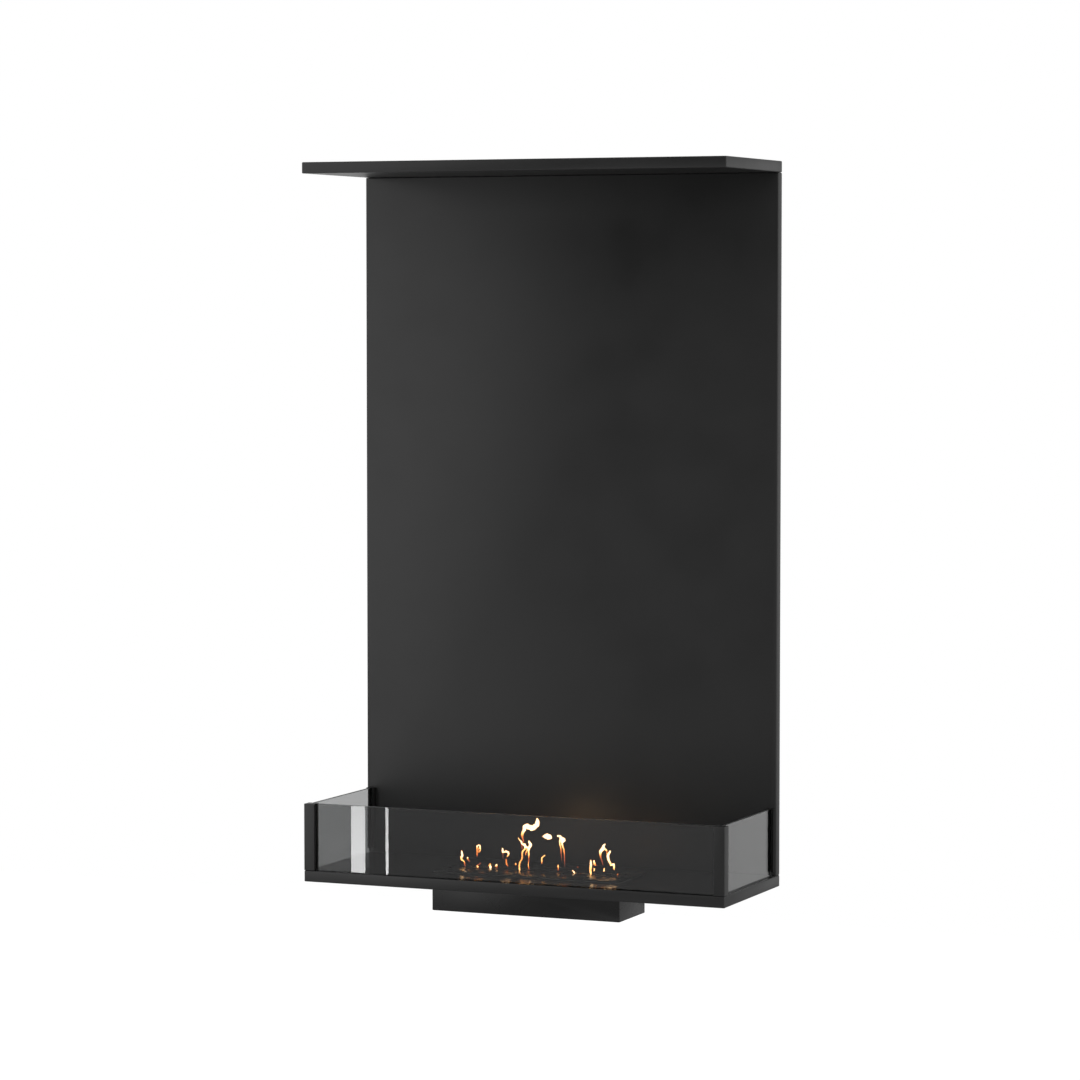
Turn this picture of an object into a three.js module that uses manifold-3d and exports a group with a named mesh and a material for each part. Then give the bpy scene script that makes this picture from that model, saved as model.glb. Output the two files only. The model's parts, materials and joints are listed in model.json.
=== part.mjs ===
// Built-in bioethanol fireplace, open to the front and to both sides. A folded steel slab, back
// panel and base tray make the casing. Three panes stand in grooves round the tray, and a burner
// with a sliding shutter hangs through the tray into a housing, from which it lifts out.
// Millimetres. +X is to the right, +Y towards the wall, +Z up. The origin is under the housing,
// in the middle of the whole.
import * as THREE from 'three';
import { mergeVertices } from 'three/addons/utils/BufferGeometryUtils.js';
import Module from 'manifold-3d';

const wasm = await Module();
wasm.setup();

// Overall size
const width = 800; // across the slab and the tray
const depth = 280; // from the front edge to the wall
const height = 1328; // from the housing's underside to the slab's top
const edge = 20; // folded edge of the slab and of the tray
const backDepth = 18; // folded edge of the back panel
const sheet = 2; // casing steel
const lip = 12; // return lip inside each folded edge
const seat = 0.3; // gap between pieces that touch

// Glass screen
const glass = 5;
const glassHeight = 120; // above the floor
const glassPlay = 0.3; // each side of a pane in its groove
const glassEndPlay = 0.5; // at each end of a pane
const post = 20; // square corner post
const postWeb = 1.2; // steel left between a post's two grooves
const postScrewInset = 7; // from the post's two outer faces
const postHole = 14; // depth of its screw hole, from the floor
const channelWall = 1.5; // channels under the floor
const channelDepth = 10;
const gasket = 2;
const rearChannelWidth = 16;
const rearChannelDepth = 9;
const rearChannelWall = 3; // behind the pane's edge
const rearChannelLift = 8; // from the floor
const rearScrewInset = 18; // from each end of a rear channel

// Burner housing, hung under the tray
const housingLength = 360;
const housingBreadth = 120;
const housingDrop = 48; // below the tray
const housingSetback = 68; // from the front edge
const housingFlange = 14;
const spillHeight = 10;
const spillWall = 1.2;
const spillPlay = 1.5; // to the housing, each side

// Burner
const tankSteel = 1.5;
const tankPlay = 3; // tank in the tray's cut-out
const tankLedge = 10; // tank's rim over the floor
const tankHousingPlay = 10; // tank to housing, each side
const tankReach = 52; // below the floor
const woolPlay = 1;
const woolHeight = 34;
const coverSteel = 2;
const coverOverhang = 2; // past the tank's rim
const slotEnd = 18; // flame slot's ends to the tank's ends
const slotBreadth = 22;
const slotOffset = 12; // slot's middle behind the tank's middle

// Shutter under the cover
const shutterLap = 2.5; // over each long side of the slot
const shutterEndLap = 7;
const shutterClear = 0.5; // open shutter to slot
const runnerWeb = 5;
const runnerLedge = 5;
const runnerSpare = 3; // past the shutter at both ends of its travel
const runnerPlay = 0.5;
const runnerScrewInset = 8;
const knobInset = 12; // from the slot's right end
const knobRadius = 5;
const knobHeight = 4;
const knobStem = 2; // radius
const knobRise = 0.6; // knob over the cover
const knobPlay = 1; // stem to the slot's edge when shut
const notchPlay = 0.5; // round the stem
const earLap = 1.5; // shutter's ear past the notch when shut
const earSide = 3.5; // shutter's ear past the notch's sides

// Back panel's rails and fixings
const railSpacing = 440;
const railWidth = 40;
const railFoot = 12;
const railEnd = 60; // rail's end to the panel's end
const keyholePlace = 80; // from each end of a rail
const keyholeRadius = 6;
const keyholeSlot = 3.25; // half the width of its narrow part
const keyholeRise = 16;
const railNutPlace = 30; // from each end of a rail
const boltCount = 4; // along the slab and along the tray
const boltInset = 70; // outer bolts to the panel's ends
const boltLength = 10;
const studColumns = 3;
const studInset = 36; // outer studs to the housing's ends

// Fasteners: shank radius, head or nut radius to its corners or rim, and its height
const m3 = { shank: 1.5, head: 2.8, tall: 1.8 };
const m4 = { shank: 2, head: 4, tall: 2.8 };
const m5 = { shank: 2.5, head: 4.6, tall: 3.5 };
const holePlay = 0.4; // round a shank
const studTip = 1.5; // stud past its nut
const screwEnd = 1; // screw's tip to the end of a blind hole
const blindSkin = 2; // rear channel's steel past its screw holes

// Levels and lines that follow from the sizes above
const trayUnder = housingDrop;
const floor = trayUnder + edge;
const slabUnder = height - edge;
const front = -depth / 2;
const wall = depth / 2;
const side = width / 2;
const panelFace = wall - backDepth;
const groove = glass + 2 * glassPlay;
const grooveDepth = (post - groove) / 2 - postWeb;
const frontPaneY = front + post / 2;
const sidePaneX = side - post / 2;
const paneTop = floor + glassHeight;
const rearChannelFront = panelFace - seat - rearChannelDepth;
const rearGrooveEnd = panelFace - seat - rearChannelWall;
const channelTop = floor - sheet - seat;
const channelUnder = channelTop - channelDepth;
const gasketUnder = channelUnder + channelWall + seat;
const paneUnder = gasketUnder + gasket + seat;
const channelWidth = groove + 2 * channelWall;
const boltY = panelFace + backDepth / 2;
const housingFront = front + housingSetback;
const housingBack = housingFront + housingBreadth;
const housingY = (housingFront + housingBack) / 2;
const tankLength = housingLength - 2 * (sheet + tankHousingPlay);
const tankBreadth = housingBreadth - 2 * (sheet + tankHousingPlay);
const slotLength = tankLength - 2 * slotEnd;
const knobX = slotLength / 2 - knobInset;

const steelBlack = { color: 0x1d1e1f, roughness: 0.55, metalness: 0.1 };
const steelBare = { color: 0xa9abad, roughness: 0.35, metalness: 1 };
const glassGrey = { color: 0x6f7274, roughness: 0.05, metalness: 0, transparent: true, opacity: 0.4 };
const rubberBlack = { color: 0x141414, roughness: 0.9, metalness: 0 };
const woolWhite = { color: 0xd9d6cf, roughness: 1, metalness: 0 };

// A geometry as a solid that can be joined and cut
function solid(geometry) {
  const bare = geometry.clone();
  bare.deleteAttribute('normal');
  bare.deleteAttribute('uv');
  const merged = mergeVertices(bare);
  return new wasm.Manifold(new wasm.Mesh({
    numProp: 3,
    vertProperties: new Float32Array(merged.attributes.position.array),
    triVerts: new Uint32Array(merged.index.array),
  }));
}

function block([x0, y0, z0], [x1, y1, z1]) {
  const box = new THREE.BoxGeometry(x1 - x0, y1 - y0, z1 - z0);
  return solid(box.translate((x0 + x1) / 2, (y0 + y1) / 2, (z0 + z1) / 2));
}

// A round bar or, with six sides, a hexagon: upright at x, y from z0 to z1
function rod(radius, x, y, z0, z1, sides = 12) {
  const bar = new THREE.CylinderGeometry(radius, radius, z1 - z0, sides);
  return solid(bar.rotateX(Math.PI / 2).translate(x, y, (z0 + z1) / 2));
}

// The same bar along Y
function rodY(radius, x, z, y0, y1, sides = 12) {
  const bar = new THREE.CylinderGeometry(radius, radius, y1 - y0, sides);
  return solid(bar.translate(x, (y0 + y1) / 2, z));
}

// Sheet folded to fill a box: one closed face, four edges, and a lip round the open side.
// The open side is the box's high or low end along an axis (0, 1 or 2).
function pan(low, high, axis, openHigh) {
  const mouthLow = low.map((value) => value + sheet + lip);
  const mouthHigh = high.map((value) => value - sheet - lip);
  mouthLow[axis] = openHigh ? high[axis] - 2 * sheet : low[axis] - sheet;
  mouthHigh[axis] = openHigh ? high[axis] + sheet : low[axis] + 2 * sheet;
  return block(low, high)
    .subtract(block(low.map((value) => value + sheet), high.map((value) => value - sheet)))
    .subtract(block(mouthLow, mouthHigh));
}

// An open box of thin steel with its rim turned out
function trough(low, high, steel, rim) {
  return block(low, high)
    .add(block([low[0] - rim, low[1] - rim, high[2] - steel], [high[0] + rim, high[1] + rim, high[2]]))
    .subtract(block(low.map((value) => value + steel), [high[0] - steel, high[1] - steel, high[2] + steel]));
}

// Places spread evenly either side of the middle
function spread(count, half) {
  return Array.from({ length: count }, (_, index) => half * (2 * index / (count - 1) - 1));
}

// Head on top and shank down, with the underside of the head at the origin
function screw({ shank, head, tall }, length, headSides = 12) {
  const overlap = tall / 2;
  return rod(head, 0, 0, 0, tall, headSides).add(rod(shank, 0, 0, -length, overlap));
}

function nut({ shank, head, tall }) {
  return rod(head, 0, 0, 0, tall, 6).subtract(rod(shank + holePlay / 2, 0, 0, -tall, 2 * tall));
}

const fireplace = new THREE.Group();

function piece(name, shape, finish, position = [0, 0, 0], group = fireplace) {
  const cut = shape.getMesh();
  const geometry = new THREE.BufferGeometry();
  geometry.setAttribute('position', new THREE.BufferAttribute(cut.vertProperties, 3));
  geometry.setIndex(new THREE.BufferAttribute(cut.triVerts, 1));
  const mesh = new THREE.Mesh(geometry, new THREE.MeshStandardMaterial({ ...finish, flatShading: true }));
  mesh.name = name;
  mesh.position.set(...position);
  group.add(mesh);
  return mesh;
}

const hands = [['left', -1], ['right', 1]];

// ---- Casing ----

const boltXs = spread(boltCount, side - boltInset);
const boltHole = m5.shank + holePlay;
const railNutZs = (low, high) => [low + railNutPlace, high - railNutPlace];
const railLow = floor + railEnd;
const railHigh = slabUnder - railEnd;

function topPanel() {
  let slab = pan([-side, front, slabUnder], [side, wall, height], 2, true);
  for (const x of boltXs) {
    slab = slab.subtract(rod(boltHole, x, boltY, slabUnder - sheet, slabUnder + 2 * sheet));
  }
  return slab;
}

function backPanel() {
  const low = floor + seat;
  const high = slabUnder - seat;
  let panel = pan([-side, panelFace, low], [side, wall, high], 1, true);
  for (const x of boltXs) {
    panel = panel
      .subtract(rod(boltHole, x, boltY, low - sheet, low + 2 * sheet))
      .subtract(rod(boltHole, x, boltY, high - 2 * sheet, high + sheet));
  }
  for (const [, hand] of hands) {
    for (const z of rearScrewZs) {
      const hole = rodY(m3.shank + holePlay, hand * rearScrewX, z, panelFace - sheet, panelFace + 2 * sheet);
      panel = panel.subtract(hole);
    }
    for (const z of railNutZs(railLow, railHigh)) {
      const stud = rodY(m5.shank, hand * railStudX, z, panelFace + sheet / 2, panelFace + sheet + railStud);
      panel = panel.add(stud);
    }
  }
  return panel;
}

// Tray with the burner's cut-out, the grooves for the panes and the weld studs for the housing
const cutOutX = tankLength / 2 + tankPlay;
const cutOutY = tankBreadth / 2 + tankPlay;
const frontPaneX = side - post + grooveDepth;
const sidePaneFront = front + post - grooveDepth;
const studY = [housingFront - housingFlange / 2, housingBack + housingFlange / 2];
const studXs = spread(studColumns, housingLength / 2 - studInset);
const studLength = sheet + seat * 2 + m4.tall + studTip; // through the flange and its nut
const railStud = sheet + seat * 2 + m5.tall + studTip;
const railStudX = railSpacing / 2 + railWidth / 2 + railFoot / 2;
const rearScrewX = sidePaneX - groove / 2 - (rearChannelWidth - groove) / 4;
const rearScrewZs = [floor + rearChannelLift + rearScrewInset, paneTop - rearScrewInset];

function baseTray() {
  const through = [floor - 2 * sheet, floor + sheet];
  let tray = pan([-side, front, trayUnder], [side, wall, floor], 2, false)
    .subtract(block([-cutOutX, housingY - cutOutY, through[0]], [cutOutX, housingY + cutOutY, through[1]]))
    .subtract(block(
      [-frontPaneX, frontPaneY - groove / 2, through[0]],
      [frontPaneX, frontPaneY + groove / 2, through[1]],
    ));
  for (const [, hand] of hands) {
    const x = hand * sidePaneX;
    tray = tray
      .subtract(block(
        [x - groove / 2, sidePaneFront, through[0]],
        [x + groove / 2, rearGrooveEnd, through[1]],
      ))
      .subtract(rod(m4.shank + holePlay, hand * postScrewX, postScrewY, ...through));
  }
  for (const x of boltXs) {
    tray = tray.subtract(rod(boltHole, x, boltY, ...through));
  }
  for (const x of studXs) {
    for (const y of studY) {
      tray = tray.add(rod(m4.shank, x, y, floor - sheet - studLength, floor - sheet / 2));
    }
  }
  return tray;
}

const postScrewX = side - postScrewInset;
const postScrewY = front + postScrewInset;

piece('top_panel', topPanel(), steelBlack);
piece('back_panel', backPanel(), steelBlack);
piece('base_tray', baseTray(), steelBlack);

boltXs.forEach((x, index) => {
  const bolt = screw(m5, boltLength, 6);
  piece(`top_bolt_${index + 1}`, bolt, steelBare, [x, boltY, slabUnder + sheet + seat]);
  piece(`tray_bolt_${index + 1}`, bolt, steelBare, [x, boltY, floor + 2 * seat + sheet]);
});

// Hat-section rail on the back of the panel, with keyholes for the wall's screws
function wallRail() {
  const half = railWidth / 2;
  const outer = half + railFoot;
  const tall = backDepth - sheet - seat;
  const section = new THREE.Shape([
    [-outer, 0], [-half + sheet, 0], [-half + sheet, tall - sheet], [half - sheet, tall - sheet],
    [half - sheet, 0], [outer, 0], [outer, sheet], [half, sheet], [half, tall], [-half, tall],
    [-half, sheet], [-outer, sheet],
  ].map(([x, y]) => new THREE.Vector2(x, y)));
  const length = railHigh - railLow;
  let rail = solid(new THREE.ExtrudeGeometry(section, { depth: length, bevelEnabled: false }));
  const through = [tall - 2 * sheet, tall + sheet];
  for (const z of [keyholePlace, length - keyholePlace]) {
    rail = rail
      .subtract(rodY(keyholeRadius, 0, z, ...through))
      .subtract(rodY(keyholeSlot, 0, z + keyholeRise, ...through))
      .subtract(block([-keyholeSlot, through[0], z], [keyholeSlot, through[1], z + keyholeRise]));
  }
  for (const foot of [-1, 1]) {
    for (const z of railNutZs(0, length)) {
      rail = rail.subtract(rodY(m5.shank + holePlay, foot * (half + railFoot / 2), z, -sheet, 2 * sheet));
    }
  }
  return rail;
}

for (const [name, hand] of hands) {
  const railPlace = [hand * railSpacing / 2, panelFace + sheet + seat, railLow];
  piece(`wall_rail_${name}`, wallRail(), steelBare, railPlace);
  railNutZs(railLow, railHigh).forEach((z, index) => {
    const place = [hand * railStudX, panelFace + 2 * sheet + 2 * seat, z];
    const fixing = piece(`wall_rail_nut_${name}_${index + 1}`, nut(m5), steelBare, place);
    fixing.rotation.x = -Math.PI / 2;
  });
}

// ---- Glass screen ----

const screen = new THREE.Group();
fireplace.add(screen);

// Post for one corner, grooved for the front pane and for the side pane
function cornerPost(hand) {
  const outerX = hand * side;
  const innerX = hand * (side - post);
  const [x0, x1] = [outerX, innerX].sort((a, b) => a - b);
  const frontGroove = [innerX - grooveDepth, innerX + grooveDepth];
  const low = floor + seat;
  return block([x0, front, low], [x1, front + post, paneTop])
    .subtract(block(
      [frontGroove[0], frontPaneY - groove / 2, low - seat],
      [frontGroove[1], frontPaneY + groove / 2, paneTop + seat],
    ))
    .subtract(block(
      [hand * sidePaneX - groove / 2, sidePaneFront, low - seat],
      [hand * sidePaneX + groove / 2, front + post + seat, paneTop + seat],
    ))
    .subtract(rod(m4.shank + holePlay, hand * postScrewX, postScrewY, low - seat, floor + postHole));
}

// Rear channel on the panel's face, with blind holes for its screws
function rearChannel(hand) {
  const x = hand * sidePaneX;
  const low = floor + rearChannelLift;
  let channel = block(
    [x - rearChannelWidth / 2, rearChannelFront, low],
    [x + rearChannelWidth / 2, panelFace - seat, paneTop],
  ).subtract(block(
    [x - groove / 2, rearChannelFront - seat, low - seat],
    [x + groove / 2, rearGrooveEnd, paneTop + seat],
  ));
  for (const z of rearScrewZs) {
    const hole = rodY(m3.shank + holePlay / 2, hand * rearScrewX, z, rearChannelFront + blindSkin, panelFace);
    channel = channel.subtract(hole);
  }
  return channel;
}

// Channel under the floor: a pane's lower edge stands in it on a gasket
function floorChannel(low, high, alongX) {
  const across = alongX ? 1 : 0;
  const grooveLow = [...low];
  const grooveHigh = [...high];
  grooveLow[across] += channelWall;
  grooveHigh[across] -= channelWall;
  grooveLow[1 - across] -= channelWall;
  grooveHigh[1 - across] += channelWall;
  return block([...low, channelUnder], [...high, channelTop])
    .subtract(block([...grooveLow, channelUnder + channelWall], [...grooveHigh, channelTop + channelWall]));
}

const frontChannelBack = frontPaneY + channelWidth / 2;
const sideChannelFront = frontChannelBack + seat;
const frontGlassX = frontPaneX - glassEndPlay;
const sideGlassFront = sidePaneFront + glassEndPlay;
const sideGlassBack = rearGrooveEnd - glassEndPlay;
const gasketWidth = glass;

piece(
  'glass_front',
  block([-frontGlassX, frontPaneY - glass / 2, paneUnder], [frontGlassX, frontPaneY + glass / 2, paneTop]),
  glassGrey,
  [0, 0, 0],
  screen,
);
piece(
  'glass_channel_front',
  floorChannel([-frontGlassX, frontPaneY - channelWidth / 2], [frontGlassX, frontChannelBack], true),
  steelBlack,
);
piece(
  'glass_gasket_front',
  block(
    [-frontGlassX, frontPaneY - gasketWidth / 2, gasketUnder],
    [frontGlassX, frontPaneY + gasketWidth / 2, gasketUnder + gasket],
  ),
  rubberBlack,
);

for (const [name, hand] of hands) {
  const x = hand * sidePaneX;
  piece(`corner_post_${name}`, cornerPost(hand), steelBlack, [0, 0, 0], screen);
  const postScrew = piece(
    `corner_post_screw_${name}`,
    screw(m4, sheet + seat + postHole - screwEnd),
    steelBare,
    [hand * postScrewX, postScrewY, floor - sheet - seat],
  );
  postScrew.rotation.x = Math.PI;
  piece(
    `glass_${name}`,
    block([x - glass / 2, sideGlassFront, paneUnder], [x + glass / 2, sideGlassBack, paneTop]),
    glassGrey,
    [0, 0, 0],
    screen,
  );
  piece(
    `glass_channel_${name}`,
    floorChannel([x - channelWidth / 2, sideChannelFront], [x + channelWidth / 2, rearGrooveEnd], false),
    steelBlack,
  );
  piece(
    `glass_gasket_${name}`,
    block(
      [x - gasketWidth / 2, sideChannelFront, gasketUnder],
      [x + gasketWidth / 2, rearGrooveEnd, gasketUnder + gasket],
    ),
    rubberBlack,
  );
  piece(`rear_channel_${name}`, rearChannel(hand), steelBlack, [0, 0, 0], screen);
  rearScrewZs.forEach((z, index) => {
    const place = [hand * rearScrewX, panelFace + sheet + seat, z];
    const rearScrew = piece(
      `rear_channel_screw_${name}_${index + 1}`,
      screw(m3, sheet + 2 * seat + rearChannelDepth - blindSkin - screwEnd),
      steelBare,
      place,
    );
    rearScrew.rotation.x = -Math.PI / 2;
  });
}

// ---- Burner housing ----

const housingTop = floor - sheet - seat;

function burnerHousing() {
  let housing = trough(
    [-housingLength / 2, housingFront, 0],
    [housingLength / 2, housingBack, housingTop],
    sheet,
    housingFlange,
  );
  for (const x of studXs) {
    for (const y of studY) {
      housing = housing.subtract(rod(m4.shank + holePlay, x, y, housingTop - 2 * sheet, housingTop + sheet));
    }
  }
  return housing;
}

piece('burner_housing', burnerHousing(), steelBlack);

studY.forEach((y, row) => studXs.forEach((x, column) => {
  const number = row * studXs.length + column + 1;
  piece(`housing_nut_${number}`, nut(m4), steelBare, [x, y, housingTop - sheet - seat - m4.tall]);
}));

const spillInset = sheet + spillPlay;
piece(
  'spill_tray',
  trough(
    [-housingLength / 2 + spillInset, housingFront + spillInset, sheet + seat],
    [housingLength / 2 - spillInset, housingBack - spillInset, sheet + seat + spillHeight],
    spillWall,
    0,
  ),
  steelBare,
);

// ---- Burner: lifts out as one, its origin on the floor over the middle of the housing ----

const burner = new THREE.Group();
burner.position.set(0, housingY, floor);
fireplace.add(burner);

const rimX = tankLength / 2 + tankLedge;
const rimY = tankBreadth / 2 + tankLedge;
const rimTop = seat + tankSteel;
const coverUnder = rimTop + seat;
const coverTop = coverUnder + coverSteel;
const shutterTop = coverUnder - seat;
const shutterUnder = shutterTop - tankSteel;
const shutterX = slotLength / 2 + shutterEndLap;
const shutterBreadth = slotBreadth + 2 * shutterLap;
const shutterTravel = (slotBreadth + shutterBreadth) / 2 + shutterClear;
const shutterOpenY = slotOffset - shutterTravel;
const knobShutY = slotOffset + slotBreadth / 2 - knobStem - knobPlay; // stem in the slot when shut
const knobOpenY = knobShutY - shutterTravel;
const notchEnd = knobOpenY - knobStem - notchPlay;
const notchHalf = knobStem + notchPlay;
const runnerX = shutterX + runnerPlay;
const runnerFront = shutterOpenY - shutterBreadth / 2 - runnerSpare;
const runnerBack = slotOffset + shutterBreadth / 2 + runnerSpare;
const runnerScrewX = runnerX + runnerWeb / 2;
const runnerScrewYs = [runnerFront + runnerScrewInset, runnerBack - runnerScrewInset];
const runnerUnder = shutterUnder - seat - tankSteel;

function burnerTank() {
  const low = [-tankLength / 2, -tankBreadth / 2, -tankReach];
  const high = [tankLength / 2, tankBreadth / 2, rimTop];
  return trough(low, high, tankSteel, tankLedge);
}

function ceramicWool() {
  const x = tankLength / 2 - tankSteel - woolPlay;
  const y = tankBreadth / 2 - tankSteel - woolPlay;
  const low = -tankReach + tankSteel + seat;
  return block([-x, -y, low], [x, y, low + woolHeight]);
}

// Cover with the flame slot, and the notch in which the knob's stem runs
function burnerCover() {
  const x = rimX + coverOverhang;
  const y = rimY + coverOverhang;
  const through = [coverUnder - coverSteel, coverTop + coverSteel];
  let cover = block([-x, -y, coverUnder], [x, y, coverTop])
    .subtract(block(
      [-slotLength / 2, slotOffset - slotBreadth / 2, through[0]],
      [slotLength / 2, slotOffset + slotBreadth / 2, through[1]],
    ))
    .subtract(block(
      [knobX - notchHalf, notchEnd, through[0]],
      [knobX + notchHalf, slotOffset, through[1]],
    ));
  for (const hand of [-1, 1]) {
    for (const screwY of runnerScrewYs) {
      cover = cover.subtract(rod(m3.shank + holePlay, hand * runnerScrewX, screwY, ...through));
    }
  }
  return cover;
}

function shutterRunner(hand) {
  const outer = runnerX + runnerWeb;
  const bar = (near, far, top) => block(
    [Math.min(hand * near, hand * far), runnerFront, runnerUnder],
    [Math.max(hand * near, hand * far), runnerBack, top],
  );
  let runner = bar(runnerX, outer, shutterTop)
    .add(bar(runnerX - runnerLedge, outer, runnerUnder + tankSteel));
  for (const screwY of runnerScrewYs) {
    runner = runner.subtract(
      rod(m3.shank + holePlay / 2, hand * runnerScrewX, screwY, runnerUnder - seat, shutterTop + seat),
    );
  }
  return runner;
}

// Shutter in its open place, with an ear that shuts the knob's notch
function shutter() {
  const earHalf = notchHalf + earSide;
  const earEnd = notchEnd - shutterTravel - earLap;
  return block(
    [-shutterX, shutterOpenY - shutterBreadth / 2, shutterUnder],
    [shutterX, shutterOpenY + shutterBreadth / 2, shutterTop],
  ).add(block([knobX - earHalf, earEnd, shutterUnder], [knobX + earHalf, shutterOpenY, shutterTop]));
}

function shutterKnob() {
  const stemLow = shutterTop + seat;
  const knobLow = coverTop + knobRise;
  return rod(knobStem, 0, 0, stemLow, knobLow + knobHeight / 2)
    .add(rod(knobRadius, 0, 0, knobLow, knobLow + knobHeight, 24));
}

piece('burner_tank', burnerTank(), steelBare, [0, 0, 0], burner);
piece('ceramic_wool', ceramicWool(), woolWhite, [0, 0, 0], burner);
piece('burner_cover', burnerCover(), steelBlack, [0, 0, 0], burner);
for (const [name, hand] of hands) {
  piece(`shutter_runner_${name}`, shutterRunner(hand), steelBare, [0, 0, 0], burner);
  runnerScrewYs.forEach((screwY, index) => {
    const place = [hand * runnerScrewX, screwY, coverTop + seat];
    const length = coverTop + seat - runnerUnder - screwEnd;
    piece(`cover_screw_${name}_${index + 1}`, screw(m3, length), steelBlack, place, burner);
  });
}
piece('shutter', shutter(), steelBare, [0, 0, 0], burner);
piece('shutter_knob', shutterKnob(), steelBlack, [knobX, knobOpenY, 0], burner);

export default fireplace;
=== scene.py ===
# Built-in bioethanol fireplace: the finish of every piece, the flames, the light and the camera
import json
from math import atan2, cos, pi, radians, sin

import bmesh
import bpy
from mathutils import Matrix, Vector, noise
from mathutils.kdtree import KDTree

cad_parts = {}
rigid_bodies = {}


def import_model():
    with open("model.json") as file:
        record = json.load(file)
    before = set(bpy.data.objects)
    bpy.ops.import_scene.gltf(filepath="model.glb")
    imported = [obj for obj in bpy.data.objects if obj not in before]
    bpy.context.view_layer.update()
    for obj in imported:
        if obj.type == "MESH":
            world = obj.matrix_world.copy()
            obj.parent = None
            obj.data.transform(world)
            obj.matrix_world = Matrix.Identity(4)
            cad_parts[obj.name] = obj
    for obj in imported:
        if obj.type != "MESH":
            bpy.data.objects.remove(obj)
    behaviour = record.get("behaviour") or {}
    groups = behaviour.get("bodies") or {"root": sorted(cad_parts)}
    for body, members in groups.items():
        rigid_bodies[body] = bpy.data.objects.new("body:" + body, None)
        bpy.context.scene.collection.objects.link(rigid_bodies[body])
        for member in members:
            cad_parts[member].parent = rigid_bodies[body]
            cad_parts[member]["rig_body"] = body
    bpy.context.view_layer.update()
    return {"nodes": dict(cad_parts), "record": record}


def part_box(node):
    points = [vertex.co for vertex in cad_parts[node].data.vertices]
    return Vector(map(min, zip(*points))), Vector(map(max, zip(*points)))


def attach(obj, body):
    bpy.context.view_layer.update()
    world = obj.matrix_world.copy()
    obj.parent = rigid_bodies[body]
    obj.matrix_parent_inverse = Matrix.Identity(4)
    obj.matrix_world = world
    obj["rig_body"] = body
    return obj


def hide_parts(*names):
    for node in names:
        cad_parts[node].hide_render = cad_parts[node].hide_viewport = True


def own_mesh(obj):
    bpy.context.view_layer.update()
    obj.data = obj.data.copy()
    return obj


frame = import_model()
scene = bpy.context.scene
mm = 0.001
print("frame loaded,", len(frame["nodes"]), "nodes")


# ---- Camera ----

camera = {
    "place": (2.7197, -6.3864, 1.0857),  # metres
    "pitch": 3.502,  # degrees down
    "turn": 23.081,  # degrees to the left, from looking straight at the back wall
    "lens": 130.98,  # mm
    "sensor": 36,  # mm
    "farthest": 60,  # metres seen
}


def setCamera():
    data = bpy.data.cameras.new("camera")
    data.lens = camera["lens"]
    data.sensor_width = camera["sensor"]
    data.clip_end = camera["farthest"]
    viewer = bpy.data.objects.new("camera", data)
    viewer.location = camera["place"]
    viewer.rotation_euler = (radians(90 - camera["pitch"]), 0, radians(camera["turn"]))
    scene.collection.objects.link(viewer)
    scene.camera = viewer


setCamera()


# ---- Shader helpers ----

def linear(hexColour):
    # sRGB hex to the linear values that shaders work in
    values = [int(hexColour[at:at + 2], 16) / 255 for at in (1, 3, 5)]
    return [v / 12.92 if v <= 0.04045 else ((v + 0.055) / 1.055) ** 2.4 for v in values] + [1]


def addNode(tree, kind, inputs=None, **settings):
    node = tree.nodes.new("ShaderNode" + kind)
    for name, value in settings.items():
        setattr(node, name, value)
    for name, value in (inputs or {}).items():
        if isinstance(value, bpy.types.NodeSocket):
            tree.links.new(value, node.inputs[name])
        else:
            node.inputs[name].default_value = value
    return node


def newMaterial(name):
    material = bpy.data.materials.new(name)
    material.use_nodes = True
    material.node_tree.nodes.clear()
    return material, material.node_tree


def surfaceFrom(tree, node):
    addNode(tree, "OutputMaterial", {"Surface": node.outputs[0]})


def inMillimetres(tree, stretch=(1, 1, 1)):
    # object coordinates in millimetres; stretch above 1 draws a pattern finer along that axis
    place = addNode(tree, "TexCoord").outputs["Object"]
    scale = [value / mm for value in stretch]
    return addNode(tree, "Mapping", {"Vector": place, "Scale": scale}).outputs["Vector"]


# ---- Finishes ----

# Polyester powder coat on folded sheet steel, sprayed and baked: a satin black skin that scatters a soft
# sheen, with a faint orange peel. The peel is really 1 to 2 mm across and is drawn a little coarser.
powderCoat = {"dark": "#141414", "light": "#1b1b1b", "roughness": (0.40, 0.46), "peel": 2.6, "depth": 0.005,
              "speck": 1.1, "cloud": 90, "cloudSpan": (0.3, 0.7), "ior": 1.5}
# The same coat on the housing and the burner's cover, smoother and glossier to match the photograph
housingCoat = dict(powderCoat, dark="#131313", light="#191919", roughness=(0.24, 0.3), depth=0.0003)
# and on the tray's floor, glossier still, where it mirrors the flames
trayCoat = dict(powderCoat, roughness=(0.2, 0.24), depth=0.0003)
# Dull black paint on the panes' channels, with almost no sheen. Its colour is partly the paint and partly
# painted shade, drawn darker than the coat so that the slots read as black
channelPaintAndSlotShade = dict(powderCoat, dark="#060606", light="#0a0a0a", roughness=(0.6, 0.7), peel=1.6, ior=1.3)


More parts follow.
